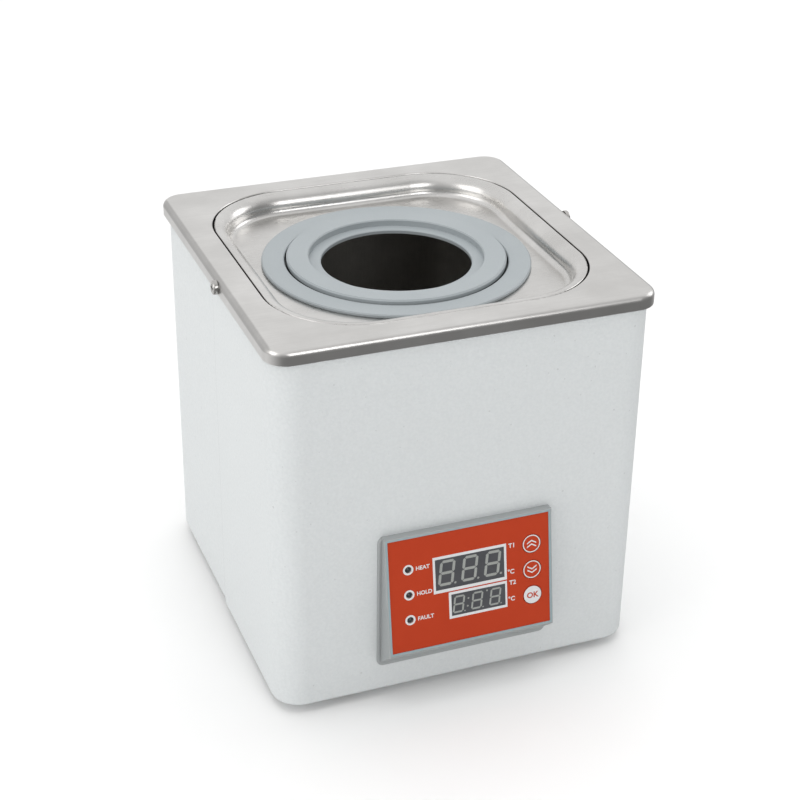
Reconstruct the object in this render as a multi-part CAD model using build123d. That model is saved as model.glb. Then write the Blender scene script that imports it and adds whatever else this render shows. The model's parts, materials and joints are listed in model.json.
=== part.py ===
from build123d import *
import os
from math import cos, sin, radians

# Single-hole laboratory water bath. Millimetres; X to the right of someone facing the control panel,
# Y to the rear, Z up. The origin is on the bench, under the middle of the cabinet.

# Driving dimensions
body_x, body_y = 100.0, 102.0        # half width and half depth of the cabinet
body_corner = 15.0                   # upright corner radius of the cabinet
body_low, body_high = 5.0, 210.0     # lower edge of the cabinet, underside of the top frame
steel = 1.0                          # cabinet and frame sheet
thin_steel = 0.8                     # drawn stainless sheet of the tank and the lid
seam_lap = 20.0                      # how far the rear shell tucks inside the front one
fit = 0.05                           # clearance around a fixed screw or pin
frame_gap = 0.6                      # between the cabinet and the skirt of the top frame
skirt_low = 203.4
open_x, open_y, open_corner = 86.0, 89.0, 47.0   # half sizes of the opening in the top frame
lip_low = 204.5
tank_x, tank_y, tank_corner = 80.0, 83.0, 28.0   # half sizes inside the tank
tank_floor, tank_rim = 69.0, 203.0
lid_floor, lid_top = 200.0, 210.7
lid_hole_r = 62.5
shelf_level = 100.0
label_w, label_h, label_tilt = 88.0, 62.3, 8.93  # the sloping control label
label_y, label_z = -111.15, 67.35                # its centre
wall_back = -2.4                     # back of the bezel's front wall, measured outwards from the label
board_front = -10.4
led_x, led_pitch, led_r = -33.5, 14.0, 1.5
key_x, key_pitch, key_r = 34.3, 14.5, 5.0
key_mid, led_mid = 0.5, 0.1          # heights of the middle key and lamp from the label's centre
upper_window = (-0.1, 7.9, 37.9, 17.1)           # centre x, centre y, width, height
lower_window = (4.1, -10.5, 29.9, 12.1)
foot_x, foot_y, foot_r, foot_high = 74.0, 76.0, 9.0, 6.0
left_screw_y, right_screw_y, frame_screw_z = -15.0, 10.0, 206.6
stud_x, stud_y, stud_r = 89.5, 50.0, 1.5
heater_leg_x, heater_leg_y, heater_level, heater_r = 12.0, 50.0, 84.0, 4.0
probe_x, probe_z = 30.0, 92.5
shelf_foot_x, shelf_foot_y = 58.0, 60.0
inlet_x, switch_x, fuse_x, fitting_z = -48.0, 0.0, 42.0, 34.0   # rear fittings
rear_vents_x, base_vents_x = 69.0, 34.0          # middle of each row of slots
board_x, board_y, board_w, board_d, board_low = -38.0, 16.0, 92.0, 72.0, 15.0
board_top = board_low + 1.6
ribbon_x, probe_header_y = -10.0, 12.0
rear = body_y


def rounded_box(half_x, half_y, corner, low, high):
    """Upright block with rounded corners, centred on the Z axis."""
    return Pos(0, 0, low) * extrude(RectangleRounded(2 * half_x, 2 * half_y, corner), high - low)


def block(x, y, z, low, size):
    """Rectangular block by its size (dx, dy, dz) and the centre of its lower face."""
    return Pos(x, y, z + low) * Box(*size, align=(Align.CENTER, Align.CENTER, Align.MIN))


def upright(x, y, low, high, radius):
    """Upright cylinder."""
    return Pos(x, y, low) * Cylinder(radius, high - low, align=(Align.CENTER, Align.CENTER, Align.MIN))


def turned(points):
    """Solid of revolution about Z from (radius, height) points."""
    outline = Polyline(*[(r, 0, h) for r, h in points], close=True)
    return revolve(make_face(outline), axis=Axis.Z)


def edges_at(solid, height):
    """Edges lying at a height."""
    return solid.edges().filter_by_position(Axis.Z, height - 0.01, height + 0.01)


def top_opening(solid):
    """Edges around the opening in a solid's highest face."""
    return solid.faces().sort_by(Axis.Z)[-1].inner_wires()[0].edges()


def grid(count, pitch):
    """Evenly spaced places, centred on zero."""
    return [(i - (count - 1) / 2) * pitch for i in range(count)]


def four(x, y):
    """The four corners of a rectangle."""
    return [(sx * x, sy * y) for sx in (-1, 1) for sy in (-1, 1)]


def joined(solids):
    """Several separate solids kept together as one group."""
    return Compound(children=list(solids))


def pan_screw(radius, length, head_r, head_high):
    """Pan-head screw with a cross recess: head above Z = 0, shank below."""
    shank = upright(0, 0, -length, 0.2, radius)
    head = upright(0, 0, 0, head_high, head_r)
    head = fillet(edges_at(head, head_high), 0.45 * head_high)
    narrow, wide, deep = 0.22 * head_r, 1.15 * head_r, 0.45 * head_high
    recess = block(0, 0, 0, deep, (narrow, wide, head_high))
    recess += block(0, 0, 0, deep, (wide, narrow, head_high))
    return shank + head - recess


def hex_nut(across, thick, hole_r):
    """Hexagon nut standing on Z = 0."""
    prism = extrude(RegularPolygon(across / 2, 6, major_radius=False), thick)
    return prism - upright(0, 0, -1, thick + 1, hole_r)


# Places on the sloping label: x to the right, y up the slope, z outwards.
tilt = radians(label_tilt)
label_plane = Plane(origin=(0, label_y, label_z), x_dir=(1, 0, 0), z_dir=(0, -cos(tilt), sin(tilt)))


def on_label(solid):
    """Moves a solid from label coordinates to its place."""
    return label_plane.location * solid


def label_point(across, out):
    """(Y, Z) of a point given up the slope and outwards from the label."""
    return (label_y + across * sin(tilt) - out * cos(tilt), label_z + across * cos(tilt) + out * sin(tilt))


def label_block(x, y, low, high, width, height):
    return block(x, y, 0, low, (width, height, high - low))


def facing_rear(solid):
    """Turns a solid built along +Z to point to the rear, its X staying X."""
    return Rot(-90, 0, 0) * solid


# Cabinet

def cabinet_wrap(inset):
    """Full wrap of the cabinet with its inward flanges; inset narrows the sides only."""
    low, high = body_low, body_high
    half_x, corner = body_x - inset, body_corner - inset
    outer = rounded_box(half_x, body_y, corner, low, high)
    outer = fillet(edges_at(outer, high), 2.6)
    outer = fillet(edges_at(outer, low), 1.8)
    hollow = rounded_box(half_x - steel, body_y - steel, corner - steel, low + steel, high - steel)
    hollow = fillet(edges_at(hollow, high - steel), 1.6)
    hollow = fillet(edges_at(hollow, low + steel), 0.8)
    top_window = rounded_box(92, 94, 8, high - 2 * steel, high + 1)
    bottom_window = rounded_box(86, 88, 6, low - 1, low + 2 * steel)
    return outer - hollow - top_window - bottom_window


def shell_screw_places():
    return [(x, y) for y in (-95.0, 95.0) for x in (-60.0, 60.0)]


def side_screw_holes(radius):
    places = [(-body_x, left_screw_y), (body_x, right_screw_y)]
    return joined(Pos(x, y, frame_screw_z) * Rot(0, 90, 0) * Cylinder(radius, 20) for x, y in places)


def front_shell():
    shell = cabinet_wrap(0) - block(0, 150, 0, 0, (300, 300, 300))
    window = Pos(0, -body_y, 64.75) * Box(86, 10, 64.5)
    holes = joined(upright(x, y, 0, 12, 2.0 + fit) for x, y in shell_screw_places())
    return shell - window - holes - side_screw_holes(2.0 + fit)


def rear_shell():
    wrap = cabinet_wrap(steel + 0.1)
    side = wrap - block(0, -150 - seam_lap, 0, 0, (300, 300, 300))
    front_flanges = block(0, -149.8, 0, 0, (300, 300, 8)) + block(0, -149.8, 0, 208, (300, 300, 8))
    shell = side - front_flanges
    shell -= Pos(inlet_x, rear, fitting_z) * Box(27.4, 10, 20.2)
    shell -= Pos(switch_x, rear, fitting_z) * Box(13.6, 10, 21.2)
    shell -= Pos(fuse_x, rear, fitting_z) * Rot(90, 0, 0) * Cylinder(6.3, 10)
    for x in (inlet_x - 20, inlet_x + 20):
        shell -= Pos(x, rear, fitting_z) * Rot(90, 0, 0) * Cylinder(1.5 + fit, 10)
    vent = Rot(90, 0, 0) * extrude(SlotOverall(26, 3, rotation=90), 10, both=True)
    for x in grid(4, 7):
        shell -= Pos(x + rear_vents_x, rear, fitting_z) * vent
    shell -= joined(upright(x, y, 0, 12, 2.0 + fit) for x, y in shell_screw_places())
    return shell - side_screw_holes(2.0 + fit)


def base_plate():
    plate = rounded_box(96.9, 99.9, 12.6, body_low + steel, body_low + steel + 1.2)
    vent = extrude(SlotOverall(34, 4, rotation=90), 10)
    plate -= joined(Pos(x + base_vents_x, y, 0) * vent for x in grid(6, 8) for y in (-50, 50))
    plate -= joined(upright(x, y, 0, 12, 2.0 + fit) for x, y in shell_screw_places() + four(foot_x, foot_y))
    plate -= joined(upright(x, y, 0, 12, 1.5 + fit) for x, y in standoff_places())
    return plate


def shell_screws():
    screw = Pos(0, 0, body_low) * Rot(180, 0, 0) * pan_screw(2.0, 6, 3.6, 2.2)
    return joined(Pos(x, y, 0) * screw for x, y in shell_screw_places())


def shell_nuts():
    nut = hex_nut(7, 3, 2.0 + fit)
    return joined(Pos(x, y, 7.2) * nut for x, y in shell_screw_places())


def feet():
    foot = turned([(2.1, 1.8), (4.6, 1.8), (4.6, 0), (8.2, 0), (foot_r, 0.9), (foot_r - 1, foot_high),
                   (2.1, foot_high)])
    return joined(Pos(x, y, 0) * foot for x, y in four(foot_x, foot_y))


def foot_screws():
    screw = Pos(0, 0, 1.8) * Rot(180, 0, 0) * pan_screw(2.0, 9.2, 3.6, 1.4)
    return joined(Pos(x, y, 0) * screw for x, y in four(foot_x, foot_y))


def foot_nuts():
    nut = hex_nut(7, 3, 2.0 + fit)
    return joined(Pos(x, y, 7.2) * nut for x, y in four(foot_x, foot_y))


# Top frame and tank

def top_frame():
    outer_x, outer_y = body_x + frame_gap + steel, body_y + frame_gap + steel
    top = body_high + steel
    outer = fillet(edges_at(rounded_box(outer_x, outer_y, 12, skirt_low, top), top), 3.2)
    inner = rounded_box(outer_x - steel, outer_y - steel, 11, skirt_low - 1, body_high)
    inner = fillet(edges_at(inner, body_high), 2.2)
    lip = rounded_box(open_x + steel, open_y + steel, open_corner + steel, lip_low, body_high + 0.5)
    frame = (outer - inner) + lip
    frame -= rounded_box(open_x, open_y, open_corner, lip_low - 1, top + 1)
    frame = fillet(top_opening(frame), 0.9)
    return frame - side_screw_holes(2.0 + fit)


def frame_screws():
    screw = pan_screw(2.0, 8, 3.7, 2.5)
    skirt = body_x + frame_gap + steel
    right = Pos(skirt, right_screw_y, frame_screw_z) * Rot(0, 90, 0) * screw
    left = Pos(-skirt, left_screw_y, frame_screw_z) * Rot(0, -90, 0) * screw
    return joined([right, left])


def frame_studs():
    return joined(upright(x, y, 197, body_high, stud_r) for x, y in four(stud_x, stud_y))


def stud_nuts():
    nut = hex_nut(5.5, 2.4, stud_r + fit)
    return joined(Pos(x, y, tank_rim - thin_steel - 2.4) * nut for x, y in four(stud_x, stud_y))


def tank_gasket():
    ring = rounded_box(87.6, open_y + 1.6, open_corner + 1.6, tank_rim, lip_low)
    return ring - rounded_box(85.6, open_y - 0.4, open_corner - 0.4, tank_rim - 1, lip_low + 1)


def inner_tank():
    low = tank_floor - thin_steel
    wall = rounded_box(tank_x + thin_steel, tank_y + thin_steel, tank_corner + thin_steel, low, tank_rim)
    wall = fillet(edges_at(wall, low), 12)
    flange = rounded_box(96, 98, 14, tank_rim - thin_steel, tank_rim)
    space = rounded_box(tank_x, tank_y, tank_corner, tank_floor, tank_rim + 1)
    space = fillet(edges_at(space, tank_floor), 12 - thin_steel)
    tank = wall + flange - space
    tank -= joined(upright(x, y, 190, 210, stud_r + fit) for x, y in four(stud_x, stud_y))
    for side in (-1, 1):
        tank -= upright(side * heater_leg_x, heater_leg_y, 60, 75, 6 + fit)
    return tank - Pos(probe_x, tank_y, probe_z) * Rot(90, 0, 0) * Cylinder(4 + fit, 10)


def tank_insulation():
    wrap = rounded_box(89, 92, 32, 82, 194) - rounded_box(tank_x + 1, tank_y + 1, tank_corner + 1, 80, 196)
    return wrap - Pos(probe_x, tank_y + 5, probe_z) * Rot(90, 0, 0) * Cylinder(10, 20)


def floor_insulation():
    low = tank_floor - thin_steel - 7
    pad = rounded_box(66, 69, 15, low, low + 7)
    for side in (-1, 1):
        pad -= upright(side * heater_leg_x, heater_leg_y, low - 1, low + 8, 11)
    return pad


# Lid and rings

def lid_form(inset):
    """Solid under the lid's upper surface, or one sheet thickness inside it."""
    top, floor = lid_top - inset, lid_floor - inset
    edge_x, edge_y, edge_corner = open_x - 0.8 - inset, open_y - 0.8 - inset, open_corner - 0.8 - inset
    well = -7.8 + 2 * inset
    solid = rounded_box(edge_x, edge_y, edge_corner, tank_rim - 8, top)
    space = rounded_box(edge_x + well, edge_y + well, edge_corner + well, floor, top + 1)
    solid -= fillet(edges_at(space, floor), 3.2 + inset)
    return fillet(top_opening(solid), 6.9 - inset)


def lid_pan():
    upper = lid_form(0)
    upper = fillet(upper.faces().sort_by(Axis.Z)[-1].outer_wire().edges(), 0.8)
    pan = upper - lid_form(thin_steel)
    below = rounded_box(200, 200, 5, 150, tank_rim)
    edge = 8.6 - thin_steel + 0.01
    keep = rounded_box(open_x - edge, open_y - edge, open_corner - edge, 150, 204)
    pan -= below - keep
    return pan - upright(0, 0, 190, 215, lid_hole_r)


def ring_outer():
    hub, recess, rim = lid_hole_r - 0.7, 58.8, 70.8
    high = lid_floor + 2
    points = [(50, high - 5.5), (hub, high - 5.5), (hub, lid_floor), (rim - 0.4, lid_floor),
              (rim, lid_floor + 0.4), (rim, high - 0.6), (rim - 0.6, high), (recess + 0.5, high),
              (recess, high - 0.5), (recess, high - 3.5), (50, high - 3.5)]
    return turned(points)


def ring_inner():
    low = lid_floor - 1.5
    high, ledge, outer = low + 5.5, 46.0, 57.8
    points = [(39.7, low), (48, low), (48, low + 3.5), (55.8, low + 3.5), (55.8, low), (outer, low),
              (outer, high - 0.8), (outer - 0.8, high), (ledge + 0.6, high), (ledge, high - 0.6),
              (ledge, low + 2), (40.1, low + 2), (39.7, low + 1.6)]
    return turned(points)


# Inside the tank

def shelf():
    plate = rounded_box(72, 75, 22, shelf_level, shelf_level + 1)
    plate += rounded_box(72, 75, 22, shelf_level - 3, shelf_level)
    plate -= rounded_box(71, 74, 21, shelf_level - 4, shelf_level)
    plate -= joined(upright(x, y, 95, 105, 4.0) for x in grid(7, 18) for y in grid(7, 18))
    for x, y in four(shelf_foot_x, shelf_foot_y):
        plate += upright(x, y, tank_floor, shelf_level + 0.5, 2.5)
    return plate


def heater_element():
    low, far = 36.0, 55.0
    x, y, z = heater_leg_x, heater_leg_y, heater_level
    left = [(-x, y, low), (-x, y, z), (-far, y, z), (-far, -y, z)]
    right = [(-px, py, pz) for px, py, pz in reversed(left)]
    path = FilletPolyline(*left, *right, radius=12)
    tube = sweep(Plane(origin=path @ 0, z_dir=(0, 0, 1)) * Circle(heater_r), path=path)
    for side in (-1, 1):
        tube += upright(side * x, y, 52, tank_floor + 4.5, 6)
        tube += upright(side * x, y, tank_floor + 1.5, tank_floor + 4.5, 9)
        tube += upright(side * x, y, low - 8, low + 1, 1.8)
    return tube


def heater_gaskets():
    ring = upright(0, 0, tank_floor, tank_floor + 1.5, 9) - upright(0, 0, 60, 80, 6 + fit)
    return joined(Pos(side * heater_leg_x, heater_leg_y, 0) * ring for side in (-1, 1))


def heater_nuts():
    nut = Pos(0, 0, tank_floor - thin_steel - 5) * hex_nut(17, 5, 6 + fit)
    return joined(Pos(side * heater_leg_x, heater_leg_y, 0) * nut for side in (-1, 1))


def temperature_probe():
    sheath = upright(0, 0, 3, 42, 3) + Pos(0, 0, 3) * Sphere(3)
    body = upright(0, 0, 37, 50, 4) + upright(0, 0, 36, 39.4, 6.5)
    return Pos(probe_x, tank_y - 41, probe_z) * facing_rear(sheath + body)


def probe_fixings():
    gasket = upright(0, 0, 39.4, 41, 6.5) - upright(0, 0, 30, 60, 4 + fit)
    nut = Pos(0, 0, 41 + thin_steel) * hex_nut(12, 4, 4 + fit)
    return Pos(probe_x, tank_y - 41, probe_z) * facing_rear(joined([gasket, nut]))


# Control panel

def bezel_hooks():
    """Snap hooks that pass through the cabinet's window and hold behind its sheet."""
    solids = []
    for side in (-1, 1):
        for z in (48.0, 80.0):
            root = Pos(side * 42.6, -103.05, z) * Box(2.4, 2.1, 8)
            blade = Pos(side * 42.15, -100.0, z) * Box(1.5, 5.0, 8)
            barb = Pos(side * 43.2, -99.6, z) * Box(1.4, 2.4, 8)
            solids += [root, blade, barb]
    return solids


def panel_bezel():
    rim_w, rim_h, rim_out = label_w / 2 + 1.7, label_h / 2 + 1.6, 0.3
    front_top, front_low = label_point(rim_h, rim_out), label_point(-rim_h, rim_out)
    outline = Polyline((0, *front_top), (0, *front_low), (0, -body_y - 1.6, 23.6), (0, -body_y, 23.6),
                       (0, -body_y, front_top[1] - 0.3), close=True)
    wedge = extrude(make_face(outline), rim_w, both=True, dir=(1, 0, 0))
    front_face = wedge.faces().sort_by(Axis.Y)[0]
    wedge = fillet(front_face.edges(), 0.7)
    flange = Pos(0, -body_y, 60.2) * Rot(90, 0, 0) * extrude(RectangleRounded(95, 78.4, 3.5), 1.6)
    flange = fillet(flange.faces().sort_by(Axis.Y)[0].edges(), 0.9)
    body = wedge + flange
    body -= on_label(label_block(0, 0, -0.3, 5, label_w + 0.4, label_h + 0.4))
    cavity = on_label(label_block(0, 0, -40, wall_back, 86.8, 61.2))
    body -= cavity
    for x, y, width, height in (upper_window, lower_window):
        body -= on_label(label_block(x, y, -5, 1, width + 0.4, height + 0.4))
    for x, y, hole in panel_holes():
        body -= on_label(upright(x, y, -5, 1, hole))
    for x, y in four(37.5, 26):
        post = upright(x, y, board_front, wall_back + 0.2, 2.6)
        body += on_label(post - upright(x, y, board_front - 1, -5, 1.25 + fit))
    for hook in bezel_hooks():
        body += hook
    return body


def panel_holes():
    """Centre and radius of each lamp and key hole in the bezel's front wall."""
    lamps = [(led_x, led_mid + y, led_r + 0.25) for y in grid(3, led_pitch)]
    keys = [(key_x, key_mid + y, key_r + 0.3) for y in grid(3, key_pitch)]
    return lamps + keys


def panel_label():
    sheet = label_block(0, 0, -0.3, 0, label_w, label_h)
    for x, y, width, height in (upper_window, lower_window):
        sheet -= label_block(x, y, -1, 1, width, height)
    for x, y, hole in panel_holes():
        sheet -= upright(x, y, -1, 1, hole)
    return on_label(sheet)


def display_windows():
    panes = [label_block(x, y, -0.3, 0, w - 0.1, h - 0.1) for x, y, w, h in (upper_window, lower_window)]
    return on_label(joined(panes))


def display(window):
    """Seven-segment module: a flat-faced block on two rows of pins."""
    x, y, width, height = window
    body = label_block(x, y, -8.5, -0.5, width - 0.2, height - 0.2)
    for side in (-1, 1):
        body += label_block(x, y + side * (height / 2 - 2.5), board_front, -8.4, width - 12, 0.8)
    return on_label(body)


def key(row):
    """Push key: cap in its hole, a collar behind the wall and a stem over its switch."""
    cap = fillet(upright(0, 0, wall_back - 0.8, 0.1, key_r).edges().sort_by(Axis.Z)[-1:], 0.08)
    collar = upright(0, 0, wall_back - 0.8, wall_back, key_r + 0.9)
    stem = upright(0, 0, -5.9, wall_back, 1.6)
    return on_label(Pos(key_x, key_mid + row * key_pitch, 0) * (cap + collar + stem))


def indicator_lamps():
    lens = upright(0, 0, -6.5, -1.8, led_r) + Pos(0, 0, -1.8) * Sphere(led_r)
    lamp = lens + upright(0, 0, -7.3, -6.5, 1.9)
    for side in (-1, 1):
        lamp += upright(side * 0.8, 0, board_front, -7.2, 0.25)
    return on_label(joined(Pos(led_x, led_mid + y, 0) * lamp for y in grid(3, led_pitch)))


def control_board():
    board = label_block(0, 0, board_front - 1.6, board_front, 81, 57)
    for x, y in four(37.5, 26):
        board -= upright(x, y, -15, -5, 1.25 + fit)
    return on_label(board)


def tact_switches():
    switch = label_block(0, 0, board_front, board_front + 3.5, 6, 6)
    switch += upright(0, 0, board_front + 3.4, -6.3, 1.7)
    return on_label(joined(Pos(key_x, key_mid + y, 0) * switch for y in grid(3, key_pitch)))


def controller_chip():
    back = board_front - 1.6
    return on_label(label_block(10, -4, back - 2.2, back, 16, 10))


def buzzer():
    back = board_front - 1.6
    return on_label(upright(26, -17, back - 6, back, 6) - upright(26, -17, back - 7, back - 5, 1))


def board_connector():
    back = board_front - 1.6
    return on_label(label_block(ribbon_x, -20, back - 7, back, 20, 6))


def board_screws():
    screw = Pos(0, 0, board_front - 1.6) * Rot(180, 0, 0) * pan_screw(1.25, 6, 2.3, 1.5)
    return on_label(joined(Pos(x, y, 0) * screw for x, y in four(37.5, 26)))


# Power electronics on the base

def standoff_places():
    return [(board_x + x, board_y + y) for x, y in four(board_w / 2 - 5, board_d / 2 - 5)]


def board_standoffs():
    post = extrude(RegularPolygon(2.75, 6, major_radius=False), board_low - 7.2)
    post -= upright(0, 0, -1, 12, 1.5 + fit)
    return joined(Pos(x, y, 7.2) * post for x, y in standoff_places())


def power_board():
    board = block(board_x, board_y, 0, board_low, (board_w, board_d, 1.6))
    return board - joined(upright(x, y, 10, 20, 1.5 + fit) for x, y in standoff_places())


def standoff_screws():
    upper = Pos(0, 0, board_top) * pan_screw(1.5, 4.6, 2.8, 1.8)
    lower = Pos(0, 0, body_low + steel) * Rot(180, 0, 0) * pan_screw(1.5, 4.6, 2.8, 1.0)
    return joined(Pos(x, y, 0) * screw for x, y in standoff_places() for screw in (upper, lower))


def transformer():
    low = board_top
    core = block(board_x - 22, board_y - 4, 0, low + 2, (34, 28, 28))
    coil = block(board_x - 22, board_y - 4, 0, low, (26, 40, 24))
    coil = fillet(coil.edges().filter_by(Axis.Z), 5)
    return core + coil


def relay():
    return block(board_x + 16, board_y - 18, 0, board_top, (28, 12.5, 20))


def terminal_block():
    low = board_top
    body = block(board_x + 14, board_y + 24, 0, low, (44, 12, 13))
    for x in grid(6, 7):
        body -= upright(board_x + 14 + x, board_y + 22, low + 8, low + 20, 2.2)
        body -= block(board_x + 14 + x, board_y + 28, 0, low + 2, (4.4, 8, 5))
    return body


# Rear fittings

def power_inlet():
    flange = Pos(0, 0, 0) * extrude(RectangleRounded(50, 24, 4), 2.5)
    shroud = block(0, 0, 0, -16, (27, 19.8, 17))
    well = extrude(Polygon((-12.3, -8.3), (12.3, -8.3), (12.3, 4.5), (8.5, 8.3), (-8.5, 8.3), (-12.3, 4.5),
                           align=None), 20)
    solid = flange + shroud - Pos(0, 0, -14) * well
    for x in (-20, 20):
        solid -= upright(x, 0, -1, 5, 1.5 + fit)
    for x, y in inlet_pin_places():
        solid -= block(x, y, 0, -17, (2 + 2 * fit, 4 + 2 * fit, 4))
    return Pos(inlet_x, rear, fitting_z) * facing_rear(solid)


def inlet_pin_places():
    return [(-7, -2), (7, -2), (0, 2)]


def inlet_pins():
    pin = block(0, 0, 0, -24, (2, 4, 20))
    pins = joined(Pos(x, y, 0) * pin for x, y in inlet_pin_places())
    return Pos(inlet_x, rear, fitting_z) * facing_rear(pins)


def inlet_screws():
    screw = Pos(0, 0, 2.5) * pan_screw(1.5, 8, 2.8, 1.8)
    return Pos(inlet_x, rear, fitting_z) * facing_rear(joined(Pos(x, 0, 0) * screw for x in (-20, 20)))


def inlet_nuts():
    nut = Pos(0, 0, -steel - 2.4) * hex_nut(5.5, 2.4, 1.5 + fit)
    return Pos(inlet_x, rear, fitting_z) * facing_rear(joined(Pos(x, 0, 0) * nut for x in (-20, 20)))


rocker_pivot = 0.4                   # height of the rocker's axis above the rear face
rocker_tilt = 10.0


def switch_housing():
    body = extrude(RectangleRounded(16, 24, 1.5), 2) + block(0, 0, 0, -14, (13.4, 21, 14.5))
    body -= block(0, 0, 0, -9, (11.2, 17.8, 20))
    body -= Pos(0, 0, rocker_pivot) * Rot(0, 90, 0) * Cylinder(1.45, 13.0)
    for x in (-4, 0, 4):
        body += block(x, 0, 0, -20, (0.8, 5, 6.5))
    return Pos(switch_x, rear, fitting_z) * facing_rear(body)


def switch_rocker():
    outline = Polyline((0, -7.9, 0.2), (0, -7.9, 3.4), (0, 0, 2.2), (0, 7.9, 3.4), (0, 7.9, 0.2),
                       (0, 2.4, -2.6), (0, -2.4, -2.6), close=True)
    rocker = extrude(make_face(outline), 5.3, both=True, dir=(1, 0, 0))
    rocker += Rot(0, 90, 0) * Cylinder(1.4, 12.8)
    rocker = Pos(0, 0, rocker_pivot) * Rot(rocker_tilt, 0, 0) * rocker
    return Pos(switch_x, rear, fitting_z) * facing_rear(rocker)


def fuse_holder():
    body = upright(0, 0, 0, 2, 8.5) + upright(0, 0, -26, 0.5, 6.2) - upright(0, 0, -22, 5, 4.6)
    body += block(0, 0, 0, -31, (4.8, 0.8, 6))
    return Pos(fuse_x, rear, fitting_z) * facing_rear(body)


def fuse_nut():
    nut = Pos(0, 0, -steel - 3) * hex_nut(17, 3, 6.2 + fit)
    return Pos(fuse_x, rear, fitting_z) * facing_rear(nut)


def fuse_cap():
    cap = upright(0, 0, 2, 6.5, 6.6) + upright(0, 0, -8, 2.2, 4.4)
    for i in range(12):
        cap -= Rot(0, 0, i * 30) * upright(6.9, 0, 3, 8, 0.8)
    cap -= block(0, 0, 0, 5.4, (9, 1.4, 3))
    return Pos(fuse_x, rear, fitting_z) * facing_rear(cap)


def fuse():
    body = upright(0, 0, -21.9, -8.1, 2.6)
    return Pos(fuse_x, rear, fitting_z) * facing_rear(body)


# Leads

def lead(points, radius, bend):
    """Round lead along straight runs joined by arcs; it starts upright or level as its first run does."""
    start, after = Vector(points[0]), Vector(points[1])
    section = Plane(origin=start, z_dir=(after - start).normalized()) * Circle(radius)
    return sweep(section, path=FilletPolyline(*points, radius=bend))


def heater_leads():
    low = 28.0
    solids = []
    for side, slot_x in ((-1, board_x + 14 - 3.5), (1, board_x + 14 + 3.5)):
        x = side * heater_leg_x
        route = [(x, heater_leg_y, low), (x, heater_leg_y, low - 5), (x, 62 + 3 * side, low - 5),
                 (slot_x, 62 + 3 * side, 21.1), (slot_x, board_y + 30.2, 21.1)]
        solids.append(lead(route, 1.2, 2.4))
    return joined(solids)


def probe_lead():
    x, y, z = probe_x, tank_y + 9, probe_z
    level, behind = board_top + 3, 96.5
    route = [(x, y, z), (x, behind, z), (x, behind, 34), (14, 60, level), (14, probe_header_y, level),
             (4, probe_header_y, level)]
    return lead(route, 1.4, 3)


def board_headers():
    return joined([block(0, probe_header_y, 0, board_top, (8, 6, 6)),
                   block(ribbon_x, board_y - board_d / 2 + 6, 0, board_top, (20, 6, 6))])


def ribbon_cable():
    """Flat cable from the back of the control board to the front of the power board."""
    first_y, first_z = label_point(-20, board_front - 8.6)
    header_front = board_y - board_d / 2 + 3
    route = [(first_y, first_z), (first_y + 9.9, first_z - 1.55), (-68, board_top + 3),
             (header_front, board_top + 3)]
    path = FilletPolyline(*[(ribbon_x, y, z) for y, z in route], radius=5)
    section = Plane(origin=path @ 0, x_dir=(1, 0, 0), z_dir=path % 0) * Rectangle(16, 1)
    return sweep(section, path=path)


parts = {
    "front_shell": front_shell, "rear_shell": rear_shell, "base_plate": base_plate,
    "shell_screws": shell_screws, "shell_nuts": shell_nuts, "feet": feet, "foot_screws": foot_screws,
    "foot_nuts": foot_nuts, "top_frame": top_frame, "frame_screws": frame_screws,
    "frame_studs": frame_studs, "stud_nuts": stud_nuts, "tank_gasket": tank_gasket,
    "inner_tank": inner_tank, "tank_insulation": tank_insulation, "floor_insulation": floor_insulation,
    "lid_pan": lid_pan, "ring_outer": ring_outer, "ring_inner": ring_inner, "shelf": shelf,
    "heater_element": heater_element, "heater_gaskets": heater_gaskets, "heater_nuts": heater_nuts,
    "temperature_probe": temperature_probe, "probe_fixings": probe_fixings,
    "panel_bezel": panel_bezel, "panel_label": panel_label, "display_windows": display_windows,
    "display_upper": lambda: display(upper_window), "display_lower": lambda: display(lower_window),
    "button_up": lambda: key(1), "button_down": lambda: key(0), "button_set": lambda: key(-1),
    "indicator_lamps": indicator_lamps, "control_board": control_board, "tact_switches": tact_switches,
    "controller_chip": controller_chip, "buzzer": buzzer, "board_connector": board_connector,
    "board_screws": board_screws, "board_standoffs": board_standoffs, "power_board": power_board,
    "standoff_screws": standoff_screws, "transformer": transformer, "relay": relay,
    "terminal_block": terminal_block, "power_inlet": power_inlet, "inlet_pins": inlet_pins,
    "inlet_screws": inlet_screws, "inlet_nuts": inlet_nuts, "switch_housing": switch_housing,
    "switch_rocker": switch_rocker, "fuse_holder": fuse_holder, "fuse_nut": fuse_nut,
    "fuse_cap": fuse_cap, "fuse": fuse, "heater_leads": heater_leads, "probe_lead": probe_lead,
    "board_headers": board_headers, "ribbon_cable": ribbon_cable,
}

os.makedirs("parts", exist_ok=True)
for name, build in parts.items():
    export_step(build(), f"parts/{name}.step")
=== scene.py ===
import json
from math import cos, pi, radians, sin

import bpy
import numpy as np
from mathutils import Matrix, Vector


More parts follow.
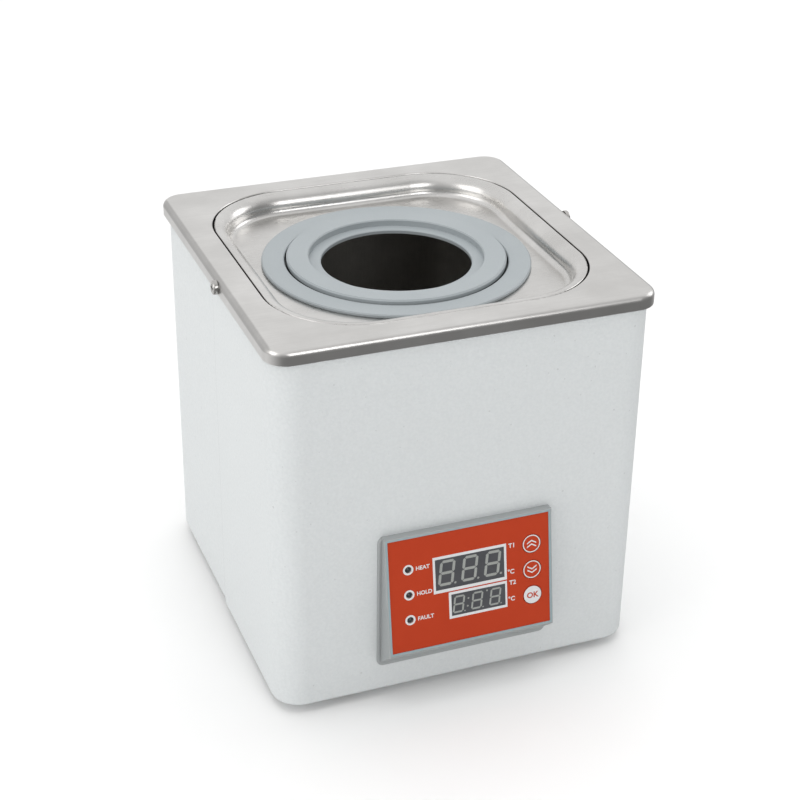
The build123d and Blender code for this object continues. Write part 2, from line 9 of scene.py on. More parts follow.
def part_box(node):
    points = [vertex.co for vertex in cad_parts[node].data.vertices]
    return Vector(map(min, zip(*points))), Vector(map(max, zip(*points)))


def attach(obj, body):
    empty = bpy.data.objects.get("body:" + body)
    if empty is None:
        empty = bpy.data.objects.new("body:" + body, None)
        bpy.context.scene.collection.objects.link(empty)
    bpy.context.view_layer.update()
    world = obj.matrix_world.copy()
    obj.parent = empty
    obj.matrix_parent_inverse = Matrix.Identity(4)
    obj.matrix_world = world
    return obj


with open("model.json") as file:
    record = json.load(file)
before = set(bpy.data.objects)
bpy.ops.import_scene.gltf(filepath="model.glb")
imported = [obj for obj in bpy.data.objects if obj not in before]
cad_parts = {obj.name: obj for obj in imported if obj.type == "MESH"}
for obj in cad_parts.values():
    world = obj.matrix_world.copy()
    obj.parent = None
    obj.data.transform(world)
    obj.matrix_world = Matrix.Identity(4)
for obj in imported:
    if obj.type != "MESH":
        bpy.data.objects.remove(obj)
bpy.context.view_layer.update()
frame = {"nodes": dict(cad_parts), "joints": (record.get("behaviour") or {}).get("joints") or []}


# ---------------------------------------------------------------------------------------------------
# Camera and studio: a pale bench top under one large overhead panel and one panel on each side. The
# room is bright towards the back and dims towards the front and the floor, which shades the steel.

camera = bpy.data.objects.new("camera", bpy.data.cameras.new("camera"))
bpy.context.scene.collection.objects.link(camera)
bpy.context.scene.camera = camera
focal_length, film_width = 79.5, 36.0
camera.data.lens, camera.data.sensor_width = focal_length, film_width
camera_place = Vector((-0.3052, -0.7951, 0.5772))
heading, pitch, roll = radians(-21.195), radians(-28.404), radians(0.777)
turn = Matrix.Rotation(heading, 4, "Z") @ Matrix.Rotation(pi / 2 + pitch, 4, "X")
camera.matrix_world = Matrix.Translation(camera_place) @ turn @ Matrix.Rotation(roll, 4, "Z")
bpy.context.scene.view_settings.view_transform = "Standard"


class Value:
    """A number that changes over a surface. Arithmetic on it adds the Math nodes that work it out."""

    def __init__(self, socket):
        self.socket = socket

    def math(self, operation, first, second):
        tree = self.socket.id_data
        node = tree.nodes.new("ShaderNodeMath")
        node.operation = operation
        for place, term in enumerate((first, second)):
            if isinstance(term, Value):
                tree.links.new(term.socket, node.inputs[place])
            else:
                node.inputs[place].default_value = term
        return Value(node.outputs[0])

    def __add__(self, other):
        return self.math("ADD", self, other)

    def __sub__(self, other):
        return self.math("SUBTRACT", self, other)

    def __rsub__(self, other):
        return self.math("SUBTRACT", other, self)

    def __mul__(self, other):
        return self.math("MULTIPLY", self, other)

    def absolute(self):
        return self.math("ABSOLUTE", self, 0)

    def root(self):
        return self.math("SQRT", self, 0)

    def greatest(self, other):
        return self.math("MAXIMUM", self, other)

    def least(self, other):
        return self.math("MINIMUM", self, other)

    def __gt__(self, other):
        return self.math("GREATER_THAN", self, other)

    __radd__ = __add__
    __rmul__ = __mul__


class Finish:
    """A surface finish: one Principled shader and the nodes that vary it."""

    def __init__(self, name, **constants):
        self.material = bpy.data.materials.new(name)
        self.material.use_nodes = True
        self.tree = self.material.node_tree
        self.shader = self.tree.nodes["Principled BSDF"]
        self.set(**constants)

    def feed(self, socket, value):
        if isinstance(value, Value):
            self.tree.links.new(value.socket, socket)
        elif socket.type == "RGBA" and len(value) == 3:
            socket.default_value = (*value, 1.0)
        else:
            socket.default_value = value

    def node(self, kind, settings, sockets, output=0):
        made = self.tree.nodes.new("ShaderNode" + kind)
        for name, value in settings.items():
            setattr(made, name, value)
        for name, value in sockets.items():
            self.feed(made.inputs[name], value)
        return Value(made.outputs[output])

    def set(self, **values):
        """Principled sockets by name, with _ for a space."""
        for name, value in values.items():
            self.feed(self.shader.inputs[name.replace("_", " ")], value)
        return self

    def place(self):
        return self.node("TexCoord", {}, {}, "Object")

    def axis(self, name):
        return self.node("SeparateXYZ", {}, {0: self.place()}, name)

    def noise(self, scale, stretch=(1, 1, 1), detail=2.0, rough=0.5):
        """Noise of about scale features a metre, multiplied along each axis by stretch."""
        spread = self.node("Mapping", {}, {"Vector": self.place(), "Scale": stretch})
        sockets = {"Vector": spread, "Scale": scale, "Detail": detail, "Roughness": rough}
        return self.node("TexNoise", {}, sockets, 0)

    def ramp(self, value, low, high, start=0.0, end=1.0):
        """A smooth step from start to end as value goes from low to high."""
        sockets = {"Value": value, "From Min": low, "From Max": high, "To Min": start, "To Max": end}
        return self.node("MapRange", {"interpolation_type": "SMOOTHSTEP"}, sockets)

    def mix(self, share, first, second):
        """A colour between two, as share goes from 0 to 1."""
        return self.node("Mix", {"data_type": "RGBA"}, {0: share, 6: first, 7: second}, 2)

    def bump(self, height, depth, strength=1.0):
        """Relief whose full height is depth metres."""
        sockets = {"Height": height, "Distance": depth, "Strength": strength}
        return self.set(Normal=self.node("Bump", {}, sockets))


def paint(finish, *names):
    """Gives CAD nodes a finish."""
    for name in names:
        slots = frame["nodes"][name].data.materials
        slots.clear()
        slots.append(finish.material)


def surface(name, points, faces):
    """A mesh object from a table of points and its faces."""
    mesh = bpy.data.meshes.new(name)
    mesh.from_pydata(np.asarray(points, float).tolist(), [], [list(map(int, face)) for face in faces])
    mesh.update()
    piece = bpy.data.objects.new(name, mesh)
    bpy.context.scene.collection.objects.link(piece)
    return piece


bench_finish = Finish("bench_top", Roughness=0.7, Specular_IOR_Level=0.2)
bench_tone = bench_finish.noise(6.0, detail=3.0)
bench_finish.set(Base_Color=bench_finish.mix(bench_tone, (0.87, 0.87, 0.87), (0.9, 0.9, 0.895)))
bench_half = 12.0
corners = [(x, y, 0) for x, y in ((-1, -1), (1, -1), (1, 1), (-1, 1))]
bench = surface("bench", np.array(corners) * bench_half, [(0, 1, 2, 3)])
bench.data.materials.append(bench_finish.material)
bench.visible_glossy = False


cabinet_middle = Vector((0, 0, 0.12))


def softbox(name, place, size, power, colour=(1, 1, 1), mirrored=True):
    """A square soft light that faces the middle of the cabinet, and may be kept out of reflections."""
    light = bpy.data.lights.new(name, "AREA")
    light.size, light.energy, light.color = size, power, colour
    box = bpy.data.objects.new(name, light)
    aim = cabinet_middle - Vector(place)
    box.matrix_world = Matrix.Translation(place) @ aim.to_track_quat("-Z", "Y").to_matrix().to_4x4()
    box.visible_glossy = mirrored
    bpy.context.scene.collection.objects.link(box)


softbox("overhead", (0.0, 0.1, 2.2), 1.8, 15.0, mirrored=False)
warm = (1.0, 0.985, 0.97)
softbox("left_panel", (-2.1, -0.3, 1.0), 1.5, 10.5, warm)
softbox("front_panel", (0.3, -2.3, 1.2), 1.2, 13.0)
softbox("right_panel", (2.2, 0.2, 1.1), 1.2, 8.0)
softbox("rear_panel", (0.4, 2.4, 1.3), 1.6, 7.0, mirrored=False)

room = bpy.data.worlds.new("room")
bpy.context.scene.world = room
room.use_nodes = True
sky, links = room.node_tree.nodes, room.node_tree.links
direction = sky.new("ShaderNodeTexCoord")
towards_light = sky.new("ShaderNodeVectorMath")
towards_light.operation = "DOT_PRODUCT"
light_side = (-0.35, 0.60, 0.50)
towards_light.inputs[1].default_value = light_side
links.new(direction.outputs["Generated"], towards_light.inputs[0])
shade = sky.new("ShaderNodeMapRange")
for socket, value in (("From Min", -0.50), ("From Max", 0.34), ("To Min", 0.20), ("To Max", 0.88)):
    shade.inputs[socket].default_value = value
links.new(towards_light.outputs["Value"], shade.inputs["Value"])
links.new(shade.outputs[0], sky["Background"].inputs["Strength"])
sky["Background"].inputs["Color"].default_value = (1.0, 1.0, 1.0, 1.0)


# ---------------------------------------------------------------------------------------------------
# Cabinet: two folded steel shells, the front one lapping over the rear one at mid side, where a fine
# grey line of painted shade marks the seam. The powder coat is a cold off-white that dries to a fine
# pebble.

powder = Finish("powder_coat", IOR=1.45)
pebble = powder.noise(620.0, detail=3.0, rough=0.6)
ripple = powder.noise(150.0, detail=2.0)
cloud = powder.noise(9.0, detail=2.0)
speck = powder.ramp(powder.noise(420.0, detail=1.0), 0.755, 0.79)
coat_tone = powder.mix(cloud, (0.675, 0.70, 0.705), (0.705, 0.73, 0.735))
coat_tone = powder.mix(powder.ramp(pebble, 0.3, 0.7) * 0.24, coat_tone, (0.56, 0.59, 0.60))
# Painted shade: a fine grey line across the coat at the seam, where the front shell laps the rear one.
seam_front, seam_back = -0.0002, 0.0006
seam_shade = (powder.axis("Y") > seam_front) * (1 - (powder.axis("Y") > seam_back))
coat_tone = powder.mix(seam_shade * 0.55, coat_tone, (0.30, 0.31, 0.31))
powder.set(Base_Color=powder.mix(speck * 0.4, coat_tone, (0.42, 0.43, 0.43)))
powder.set(Roughness=0.4 + 0.14 * pebble + 0.06 * cloud)
powder.bump(pebble + 0.8 * ripple, 0.0003, 0.7)
paint(powder, "front_shell", "rear_shell")


# ---------------------------------------------------------------------------------------------------
# Underside: a zinc-coated base plate with louvres, pressed rubber feet, and plated screws and nuts.
# The same plated finish is on every small fastener inside.

zinc = Finish("zinc_plate", Metallic=1.0)
spangle = zinc.node("TexVoronoi", {}, {"Vector": zinc.place(), "Scale": 160.0}, "Color")
spangle_tone = zinc.node("SeparateColor", {}, {0: spangle}, 0)
zinc.set(Base_Color=zinc.mix(spangle_tone, (0.52, 0.54, 0.55), (0.66, 0.67, 0.67)))
zinc.set(Roughness=0.34 + 0.16 * spangle_tone)
zinc.bump(zinc.noise(2200.0), 0.00003)
paint(zinc, "base_plate", "board_standoffs")

plated = Finish("plated_fastener", Metallic=1.0)
plating = plated.noise(700.0, detail=3.0)
plated.set(Base_Color=plated.mix(plating, (0.50, 0.50, 0.49), (0.72, 0.71, 0.69)))
plated.set(Roughness=0.22 + 0.2 * plating)
plated.bump(plating, 0.00004)
paint(plated, "shell_screws", "shell_nuts", "foot_screws", "foot_nuts", "stud_nuts", "board_screws",
      "standoff_screws", "inlet_screws", "inlet_nuts", "heater_nuts", "probe_fixings")

rubber = Finish("black_rubber", Specular_IOR_Level=0.35)
bloom = rubber.noise(60.0, detail=4.0)
rubber.set(Base_Color=rubber.mix(bloom, (0.016, 0.016, 0.017), (0.04, 0.04, 0.041)))
rubber.set(Roughness=0.6 + 0.2 * bloom)
rubber.bump(rubber.noise(1500.0), 0.00006)
paint(rubber, "feet", "tank_gasket", "heater_gaskets")


# ---------------------------------------------------------------------------------------------------
# Top frame: one stainless pressing with a rolled edge and a short skirt, held by a screw at each
# side. Its face is brushed from left to right and has the faint clouding of sheet that is handled.

def stainless(name, grain, bright, dull, roughness, shadow=None):
    """Satin stainless, stretched along grain as brushing is, and dark where shadow, a function, says."""
    steel = Finish(name, Metallic=1.0)
    lines = steel.noise(900.0, grain, detail=3.0, rough=0.65)
    stains = steel.noise(26.0, (1, 1.3, 1), detail=4.0, rough=0.6)
    scuffs = steel.ramp(steel.noise(9.0, (1, 2.2, 1), detail=2.0), 0.35, 0.7)
    tone = steel.mix(steel.ramp(stains, 0.25, 0.75) * 0.6 + scuffs * 0.4, dull, bright)
    tone = steel.mix(steel.ramp(lines, 0.35, 0.75) * 0.26, tone, dull)
    if shadow:
        tone = steel.mix(shadow(steel), tone, (0.012, 0.011, 0.010))
    steel.set(Base_Color=tone, Roughness=roughness + 0.14 * lines + 0.1 * stains)
    steel.bump(lines, 0.00002, 0.6)
    return steel


plate_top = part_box("top_frame")[1].z
gap_depth = 0.0011
inside_x, inside_y = 0.094, 0.097
bend_start = 0.0984


def frame_painted_shade(steel):
    """Painted shade: dark on the wall of the frame's opening, under the lid's edge, and a little on the
    side bends and skirts.
    """
    out_x, out_y, up = steel.axis("X").absolute(), steel.axis("Y").absolute(), steel.axis("Z")
    inside = 1 - steel.ramp(out_x, inside_x, inside_x + 0.0005)
    inside = inside * (1 - steel.ramp(out_y, inside_y, inside_y + 0.0005))
    gap = inside * (1 - steel.ramp(up, plate_top - gap_depth, plate_top - 0.0006))
    bend_shade = steel.ramp(out_x, bend_start, bend_start + 0.0012)
    bend_shade = bend_shade * steel.ramp(up, plate_top - 0.0034, plate_top - 0.0022)
    # Painted shade over the side skirts as well.
    skirt = steel.ramp(out_x, bend_start + 0.002, bend_start + 0.003) * 0.10
    return (0.85 * gap).greatest(0.32 * bend_shade + skirt)


frame_bright, frame_dull = (0.80, 0.79, 0.775), (0.62, 0.61, 0.595)
frame_steel = stainless("frame_steel", (0.03, 1, 1), frame_bright, frame_dull, 0.2, frame_painted_shade)
paint(frame_steel, "top_frame")
screw_steel = stainless("screw_steel", (1, 1, 1), (0.72, 0.70, 0.67), (0.45, 0.44, 0.43), 0.16)
paint(screw_steel, "frame_screws", "frame_studs")


# ---------------------------------------------------------------------------------------------------
# Lid: a drawn stainless pan that drops into the frame's opening, with a rolled wall round its sunken
# floor. The outside of its rim carries painted shade, as it stands in a narrow gap.

lid_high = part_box("lid_pan")[1]
lid_corner = 0.0462


def lid_painted_shade(steel):
    """Painted shade outside the lid's rim. On a rounded rectangle of half sizes h and corner radius r,
    the reach
    |max(|p| - h + r, 0)| + min(max(|p| - h + r), 0) is r all along the edge."""
    past_x = steel.axis("X").absolute() - (lid_high.x - lid_corner)
    past_y = steel.axis("Y").absolute() - (lid_high.y - lid_corner)
    corner_x, corner_y = past_x.greatest(0), past_y.greatest(0)
    reach = (corner_x * corner_x + corner_y * corner_y).root() + past_x.greatest(past_y).least(0)
    below_top = 1 - steel.ramp(steel.axis("Z"), lid_high.z - gap_depth, lid_high.z - 0.0005)
    return steel.ramp(reach, lid_corner - 0.0006, lid_corner - 0.0003) * below_top * 0.6


lid_bright, lid_dull = (0.79, 0.78, 0.765), (0.60, 0.59, 0.575)
lid_steel = stainless("lid_steel", (0.05, 1, 1), lid_bright, lid_dull, 0.17, lid_painted_shade)
paint(lid_steel, "lid_pan")


# ---------------------------------------------------------------------------------------------------
# Rings: two moulded rings in blue-grey plastic that narrow the lid's hole to suit a beaker. The
# mould leaves a fine matt grain.

ring_plastic = Finish("ring_plastic", IOR=1.49)
grain = ring_plastic.noise(1300.0, detail=2.0)
mottle = ring_plastic.noise(35.0, detail=3.0)
ring_tone = ring_plastic.mix(mottle, (0.33, 0.362, 0.377), (0.375, 0.407, 0.42))
ring_tone = ring_plastic.mix(grain * 0.25, ring_tone, (0.25, 0.285, 0.305))
out_x, out_y = ring_plastic.axis("X"), ring_plastic.axis("Y")
radius_squared = out_x * out_x + out_y * out_y
groove_in, groove_out = 0.0577, 0.0589
groove_floor, groove_brim = 0.2010, 0.2016
# Painted shade: the floor of the narrow groove between the two rings, made nearly black.
groove_shade = (radius_squared > groove_in ** 2) * (1 - (radius_squared > groove_out ** 2))
groove_shade = groove_shade * (1 - ring_plastic.ramp(ring_plastic.axis("Z"), groove_floor, groove_brim))
ring_plastic.set(Base_Color=ring_plastic.mix(groove_shade * 0.94, ring_tone, (0.02, 0.022, 0.024)))
ring_plastic.set(Roughness=0.34 + 0.16 * grain)
ring_plastic.bump(grain, 0.00005, 0.8)
paint(ring_plastic, "ring_outer", "ring_inner")


# ---------------------------------------------------------------------------------------------------
# Tank: a drawn stainless tank with a perforated shelf on four legs over a bent tubular heater, and a
# probe through the rear wall. Heat leaves the tube straw-coloured.

tank_steel = stainless("tank_steel", (1, 1, 0.06), (0.60, 0.585, 0.56), (0.42, 0.41, 0.39), 0.26)
paint(tank_steel, "inner_tank", "shelf", "temperature_probe")

tube = Finish("heater_tube", Metallic=1.0)
tint = tube.noise(30.0, detail=3.0)
tube_tone = tube.mix(tube.ramp(tint, 0.3, 0.7), (0.50, 0.44, 0.34), (0.40, 0.385, 0.37))
tube.set(Base_Color=tube_tone, Roughness=0.3 + 0.2 * tint)
tube.bump(tube.noise(1300.0), 0.00003)
paint(tube, "heater_element")

felt = Finish("fibre_felt", Roughness=0.95, Specular_IOR_Level=0.1)
fibres = felt.noise(500.0, (1, 1, 0.2), detail=5.0, rough=0.7)
felt.set(Base_Color=felt.mix(fibres, (0.44, 0.41, 0.31), (0.72, 0.69, 0.58)))
felt.bump(fibres, 0.0006)
paint(felt, "tank_insulation", "floor_insulation")


# ---------------------------------------------------------------------------------------------------
# Bezel: a moulded grey wedge that snaps into the front shell and carries the control label on its
# sloping face. It is plain satin plastic, with a faint mould texture.

bezel_plastic = Finish("bezel_plastic", IOR=1.49)
mould = bezel_plastic.noise(1400.0, detail=2.0)
wash = bezel_plastic.noise(28.0, detail=2.0)
bezel_tone = bezel_plastic.mix(wash, (0.335, 0.352, 0.357), (0.375, 0.392, 0.392))
bezel_plastic.set(Base_Color=bezel_plastic.mix(mould * 0.15, bezel_tone, (0.26, 0.275, 0.285)))
bezel_plastic.set(Roughness=0.34 + 0.14 * mould)
bezel_plastic.bump(mould, 0.00004, 0.8)
paint(bezel_plastic, "panel_bezel")


# ---------------------------------------------------------------------------------------------------
# Label: a printed polyester film, back-printed red, on the bezel's slope. Its white frames, rings
# and legends are thin layers of ink, and a pale blue-grey band is laid around it.

label_low, label_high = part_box("panel_label")
inward = Vector(next(joint["axis"] for joint in frame["joints"] if joint["name"] == "up_press"))
up_slope = Vector((0, -inward.z, inward.y))
film_thick = 0.0003
label_half_h = (label_high.z - label_low.z + film_thick * inward.z) / inward.y / 2
label_half_w = (label_high.x - label_low.x) / 2
middle_y = label_low.y + label_half_h * up_slope.y
middle_z = label_high.z - label_half_h * up_slope.z
label_middle = Vector((0, middle_y, middle_z))
mm = 0.001


def on_label(points):
    """Points given in millimetres across, up and out from the label's middle, in the frame's metres."""
    points = np.asarray(points, float) * mm
    axes = np.array([(1, 0, 0), up_slope, -inward])
    return points @ axes + np.array(label_middle)


def circle(x, y, radius, count=48):
    """Points round a centre at equal angles a: (x + radius cos a, y + radius sin a)."""
    angle = np.arange(count) * (2 * pi / count)
    return np.column_stack((x + radius * np.cos(angle), y + radius * np.sin(angle)))


def rectangle(x, y, width, high):
    """The four corners of a rectangle about its centre."""
    return np.array([(-1, -1), (1, -1), (1, 1), (-1, 1)]) * (width / 2, high / 2) + (x, y)


def band(outer, inner, low, high):
    """A flat ring of ink between two loops of as many points: a four-sided profile carried round."""
    count = len(outer)
    loops = [(outer, low), (outer, high), (inner, high), (inner, low)]
    points = np.vstack([np.column_stack((loop, np.full(count, level))) for loop, level in loops])
    here = np.arange(count)
    after = (here + 1) % count
    faces = []
    for row in range(4):
        below, above = row * count, (row + 1) % 4 * count
        faces += np.column_stack((here + below, after + below, after + above, here + above)).tolist()
    return points, faces


def plate(outline, low, high):
    """A flat patch of ink inside one loop: two caps and a wall of quads."""
    count = len(outline)
    points = np.vstack([np.column_stack((outline, np.full(count, level))) for level in (low, high)])
    here = np.arange(count)
    after = (here + 1) % count
    walls = np.column_stack((here, after, after + count, here + count)).tolist()
    return points, [here[::-1].tolist(), (here + count).tolist(), *walls]


def joined(patches):
    """Several patches as one table of points and faces."""
    points, faces, start = [], [], 0
    for patch, rings in patches:
        points.append(np.asarray(patch))
        faces += [[start + corner for corner in ring] for ring in rings]
        start += len(patch)
    return np.vstack(points), faces


cap_share = 0.729
boldness = 0.036


def lettering(words, x, y, cap, low, high, align="LEFT"):
    """A word in plain letters, cap millimetres high, standing on y: flat outlines given a thickness."""
    curve = bpy.data.curves.new("legend", "FONT")
    curve.body, curve.align_x = words, align
    curve.size = cap / cap_share
    curve.extrude = (high - low) / 2
    curve.offset = boldness * cap
    curve.resolution_u = 3
    writing = bpy.data.objects.new("legend", curve)
    bpy.context.scene.collection.objects.link(writing)
    mesh = bpy.data.meshes.new_from_object(writing.evaluated_get(bpy.context.evaluated_depsgraph_get()))
    points = np.zeros(len(mesh.vertices) * 3)
    mesh.vertices.foreach_get("co", points)
    faces = [list(face.vertices) for face in mesh.polygons]
    bpy.data.objects.remove(writing)
    return points.reshape(-1, 3) + (x, y, (low + high) / 2), faces


def print_on_label(name, patches, finish, body):
    """One layer of print on the label, riding on a body."""
    points, faces = joined(patches)
    piece = surface(name, on_label(points), faces)
    piece.data.materials.append(finish.material)
    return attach(piece, body)


red = Finish("red_film", IOR=1.5, Specular_IOR_Level=0.22)
ink_cloud = red.noise(45.0, detail=2.0)
film_grain = red.noise(2600.0, detail=2.0)
red_tone = red.mix(ink_cloud, (0.47, 0.038, 0.006), (0.52, 0.048, 0.009))
red.set(Base_Color=red.mix(film_grain * 0.2, red_tone, (0.38, 0.032, 0.009)))
red.set(Roughness=0.5 + 0.14 * film_grain)
red.bump(film_grain, 0.00002, 0.6)
paint(red, "panel_label", "button_up", "button_down", "button_set")

ink = Finish("white_ink", IOR=1.5)
cover = ink.noise(800.0, detail=2.0)
ink.set(Base_Color=ink.mix(cover, (0.66, 0.67, 0.68), (0.76, 0.77, 0.77)))
ink.set(Roughness=0.4 + 0.15 * cover)
ink.bump(cover, 0.00001)

# A pale blue-grey band laid round the label.
label_border = Finish("label_border_band", IOR=1.5)
border_mottle = label_border.noise(300.0, detail=2.0)
label_border.set(Base_Color=label_border.mix(border_mottle, (0.27, 0.37, 0.40), (0.33, 0.42, 0.445)))
label_border.set(Roughness=0.3 + 0.2 * border_mottle)

ink_low, ink_high = -0.05, 0.03
upper_pane, lower_pane = (-0.1, 7.9, 37.9, 17.1), (4.1, -10.5, 29.9, 12.1)
lamp_x, lamp_y, lamp_pitch = -33.5, 0.1, 14.0
upper_frame = band(rectangle(-0.1, 7.81, 40.41, 20.26), rectangle(*upper_pane), ink_low, ink_high)
lower_frame = band(rectangle(3.93, -10.5, 32.27, 14.95), rectangle(*lower_pane), ink_low, ink_high)
lamp_ring, lamp_window = 2.79, 1.77
lamp_cap, unit_cap = 2.2, 2.5
white_print = [upper_frame, lower_frame]
for word, step in (("HEAT", 1), ("HOLD", 0), ("FAULT", -1)):
    y = lamp_y + step * lamp_pitch
    around, within = circle(lamp_x, y, lamp_ring), circle(lamp_x, y, lamp_window)
    white_print.append(band(around, within, ink_low, ink_high))
    white_print.append(lettering(word, lamp_x + 4.0, y - 1.0, lamp_cap, ink_low, ink_high))
for word, x, y in (("T1", 21.4, 15.0), ("°C", 20.6, 0.4), ("T2", 21.4, -5.8), ("°C", 20.6, -15.0)):
    white_print.append(lettering(word, x, y, unit_cap, ink_low, ink_high))
print_on_label("label_print", white_print, ink, "cabinet")

width, height = 2 * label_half_w / mm, 2 * label_half_h / mm
edge_low, edge_high = -0.2, 0.32
around, within = rectangle(0, 0, width + 2.0, height + 1.9), rectangle(0, 0, width, height)
rim = band(around, within, edge_low, edge_high)
print_on_label("label_edge", [rim], label_border, "cabinet")


# ---------------------------------------------------------------------------------------------------
# Keys: three flexible areas of the same film over switches. Two carry a white ring and a double
# chevron, and the third a white disc with its legend left red.

key_x, key_y, key_pitch = 34.3, 0.5, 14.5
key_radius, key_line = 4.9, 0.55
key_low, key_high = 0.06, 0.13


def chevron(x, y, upwards):
    """A V of even height along its arms, centred on a place and pointing up or down."""
    half, rise, thick = 2.6, 1.5, 0.75
    sign = 1 if upwards else -1
    v = [(-half, 0), (0, rise), (half, 0), (half, thick), (0, rise + thick), (-half, thick)]
    outline = (np.array(v) - (0, (rise + thick) / 2)) * (1, sign) + (x, y)
    return outline if upwards else outline[::-1]


for name, row, upwards in (("key_up", 1, True), ("key_down", 0, False)):
    y = key_y + row * key_pitch
    around, within = circle(key_x, y, key_radius), circle(key_x, y, key_radius - key_line)
    marks = [band(around, within, key_low, key_high)]
    for step in (-1.0, 1.0):
        marks.append(plate(chevron(key_x, y + step, upwards), key_low, key_high))
    print_on_label(name + "_print", marks, ink, name)

set_y, set_cap = key_y - key_pitch, 3.2
set_disc = plate(circle(key_x, set_y, key_radius), key_low, key_high)
print_on_label("key_set_disc", [set_disc], ink, "key_set")
legend_low, legend_high = key_high - 0.02, key_high + 0.03
legend = lettering("OK", key_x, set_y - set_cap / 2, set_cap, legend_low, legend_high, "CENTER")
print_on_label("key_set_legend", [legend], red, "key_set")


# ---------------------------------------------------------------------------------------------------
# Displays: two numeric modules behind smoked panes. Unlit, their slanted segments show as pale
# diffuser bars in a near-black face, with a dot beside each digit and a colon in the lower one.

smoke = Finish("smoked_pane", IOR=1.5, Coat_Weight=0.3, Coat_Roughness=0.15)
haze = smoke.noise(120.0, detail=3.0)
smoke.set(Base_Color=smoke.mix(haze, (0.060, 0.062, 0.070), (0.082, 0.084, 0.092)))
smoke.set(Roughness=0.3 + 0.2 * haze)
smoke.bump(smoke.noise(1800.0), 0.00001)
paint(smoke, "display_windows", "display_upper", "display_lower")

diffuser = Finish("segment_diffuser", IOR=1.5)
milk = diffuser.noise(900.0, detail=3.0)
diffuser.set(Base_Color=diffuser.mix(milk, (0.27, 0.285, 0.27), (0.40, 0.415, 0.39)))
diffuser.set(Roughness=0.35 + 0.2 * milk)


def bar(start, end, thick):
    """A segment with pointed ends: a hexagon on the line from a to b, with corners a, b and
    a + u t/2 +- v t/2, b - u t/2 +- v t/2, where u is along the line, v across it and t the thickness."""
    start, end = np.array(start, float), np.array(end, float)
    along = (end - start) / np.linalg.norm(end - start)
    across = np.array((-along[1], along[0]))
    half = thick / 2
    near, far = start + along * half, end - along * half
    aside = across * half
    return np.array([start, near - aside, far - aside, end, far + aside, near + aside])


lean = 0.14
dot_sides = 16


def digit(x, y, width, high, thick):
    """The seven bars of an eight and its point, sheared so that (a, b) goes to (a + lean b, b)."""
    half_w, half_h, gap = width / 2 - thick / 2, high / 2 - thick / 2, 0.12 * thick
    strokes = [((-half_w + gap, level), (half_w - gap, level)) for level in (half_h, 0.0, -half_h)]
    for side in (-half_w, half_w):
        strokes += [((side, gap), (side, half_h - gap)), ((side, -half_h + gap), (side, -gap))]
    outlines = [bar(*stroke, thick) for stroke in strokes]
    outlines.append(circle(half_w + 1.3 * thick, -half_h - 0.1 * thick, 0.42 * thick, dot_sides))
    return [outline @ np.array([(1, 0), (lean, 1)]) + (x, y) for outline in outlines]


segment_low, segment_high = -0.03, 0.012
outlines = []
for place in (-1, 0, 1):
    outlines += digit(-0.2 + 12.6 * place, 8.4, 8.4, 14.0, 1.45)
for place in (-1, 0, 1):
    outlines += digit(3.3 + 10.1 * place, -10.5, 6.0, 9.6, 0.95)
for x, y in ((-1.5, -8.3), (-2.0, -12.6), (8.9, -6.2)):
    outlines.append(circle(x, y, 0.5, dot_sides))
segments = [plate(outline, segment_low, segment_high) for outline in outlines]
print_on_label("display_segments", segments, diffuser, "cabinet")


# ---------------------------------------------------------------------------------------------------
# Lamps: three small light-emitting diodes with smoked lenses, set a little below the label. Unlit,
# they are dark grey with a slightly cloudy face.

lens = Finish("smoked_lens", IOR=1.5, Coat_Weight=0.6, Coat_Roughness=0.1)
lens_depth = lens.noise(1200.0, detail=2.0)
lens.set(Base_Color=lens.mix(lens_depth, (0.030, 0.031, 0.034), (0.075, 0.077, 0.080)))
lens.set(Roughness=0.22 + 0.2 * lens_depth)
paint(lens, "indicator_lamps")


# ---------------------------------------------------------------------------------------------------
# Electronics: a control board behind the label and a power board on the base, both glass-fibre
# laminate with green mask, with their parts, headers and insulated leads.

laminate = Finish("circuit_board", IOR=1.5)
weave = laminate.node("TexWave", {}, {"Vector": laminate.place(), "Scale": 400.0, "Distortion": 1.0}, 0)
laminate.set(Base_Color=laminate.mix(laminate.noise(90.0), (0.012, 0.11, 0.035), (0.03, 0.19, 0.07)))
laminate.set(Roughness=0.28 + 0.15 * weave)
laminate.bump(weave, 0.00003)
paint(laminate, "control_board", "power_board")


def moulded(name, dark, light, roughness):
    """Plain moulded plastic with a fine texture."""
    plastic = Finish(name, IOR=1.5)
    texture = plastic.noise(1100.0, detail=3.0)
    plastic.set(Base_Color=plastic.mix(texture, dark, light), Roughness=roughness + 0.15 * texture)
    return plastic.bump(texture, 0.00005, 0.8)


black = moulded("black_plastic", (0.012, 0.012, 0.013), (0.028, 0.028, 0.029), 0.36)
paint(black, "tact_switches", "controller_chip", "buzzer", "relay", "power_inlet", "switch_housing",
      "switch_rocker", "fuse_holder", "fuse_nut", "fuse_cap")
pale = moulded("pale_plastic", (0.66, 0.63, 0.54), (0.78, 0.75, 0.66), 0.4)
paint(pale, "board_connector", "board_headers")
paint(moulded("terminal_plastic", (0.02, 0.18, 0.05), (0.04, 0.27, 0.09), 0.4), "terminal_block")
paint(moulded("lead_sleeve", (0.36, 0.36, 0.36), (0.50, 0.50, 0.50), 0.4), "ribbon_cable", "probe_lead")
paint(moulded("heater_sleeve", (0.62, 0.58, 0.50), (0.74, 0.70, 0.62), 0.6), "heater_leads")

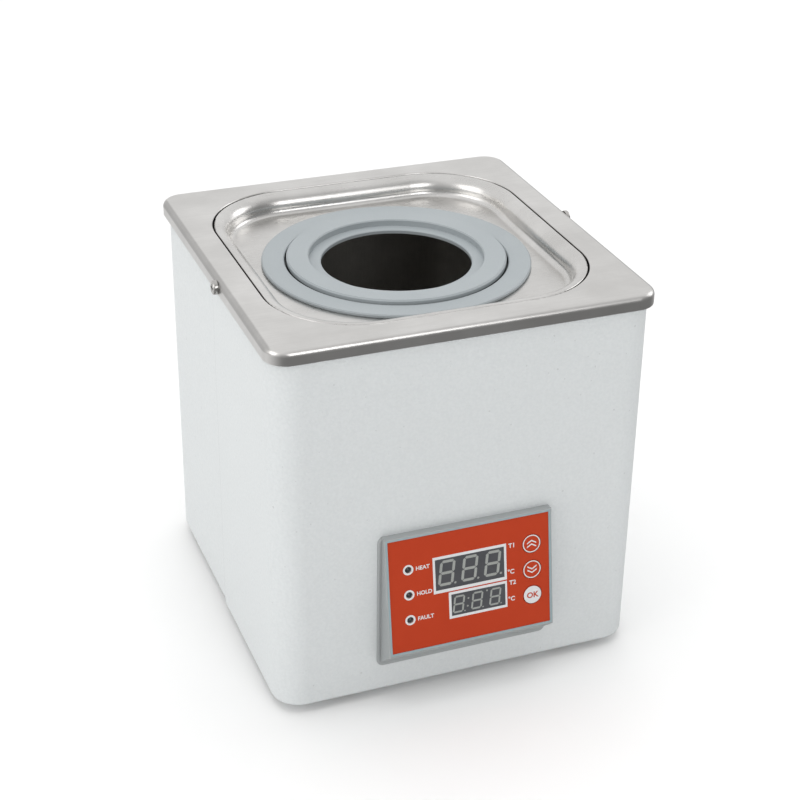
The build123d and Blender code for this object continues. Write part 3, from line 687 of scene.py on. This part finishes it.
core = Finish("transformer_core", Metallic=0.6)
layers = core.node("TexWave", {"bands_direction": "Z"}, {"Vector": core.place(), "Scale": 300.0}, 0)
core.set(Base_Color=core.mix(layers, (0.06, 0.045, 0.03), (0.16, 0.13, 0.09)))
core.set(Roughness=0.4 + 0.2 * layers)
core.bump(layers, 0.0001)
paint(core, "transformer")

nickel = Finish("nickel_pin", Metallic=1.0)
wear = nickel.noise(900.0, (1, 0.1, 1), detail=3.0)
nickel.set(Base_Color=nickel.mix(wear, (0.60, 0.56, 0.47), (0.76, 0.73, 0.66)))
nickel.set(Roughness=0.2 + 0.2 * wear)
nickel.bump(wear, 0.00002)
paint(nickel, "inlet_pins")

fuse_glass = Finish("fuse_glass", IOR=1.5, Alpha=0.6)
fuse_haze = fuse_glass.noise(400.0)
fuse_glass.set(Base_Color=fuse_glass.mix(fuse_haze, (0.7, 0.72, 0.72), (0.82, 0.84, 0.84)))
fuse_glass.set(Roughness=0.1 + 0.1 * fuse_haze)
paint(fuse_glass, "fuse")


# ---------------------------------------------------------------------------------------------------
# Rocker marks: the printed bar and ring on the two halves of the power switch's rocker. They are
# thin layers of the same ink, which follow its dished face.

pivot = Vector(next(joint["pos_m"] for joint in frame["joints"] if joint["name"] == "power_rocker"))
face_out, face_rise, face_reach = 2.2, 1.2, 7.9
tilt = radians(10.0)


def on_rocker(points):
    """Points in millimetres (x, d, h) put on the rocker's face: d down it and h off it, where the face
    is face_out + |d| face_rise / face_reach from the pivot, and the whole is turned back by tilt."""
    points = np.asarray(points, float)
    out = face_out + np.abs(points[:, 1]) * (face_rise / face_reach) + points[:, 2]
    down = points[:, 1] * cos(tilt) - out * sin(tilt)
    away = points[:, 1] * sin(tilt) + out * cos(tilt)
    return np.column_stack((points[:, 0], away, -down)) * mm + np.array(pivot)


mark_low, mark_high = -0.05, 0.04
on_bar = plate(rectangle(0, -4.6, 0.8, 3.4), mark_low, mark_high)
off_ring = band(circle(0, 4.6, 1.9, 32), circle(0, 4.6, 1.3, 32), mark_low, mark_high)
mark_points, mark_faces = joined([on_bar, off_ring])
rocker_marks = surface("rocker_marks", on_rocker(mark_points), mark_faces)
rocker_marks.data.materials.append(ink.material)
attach(rocker_marks, "rocker")
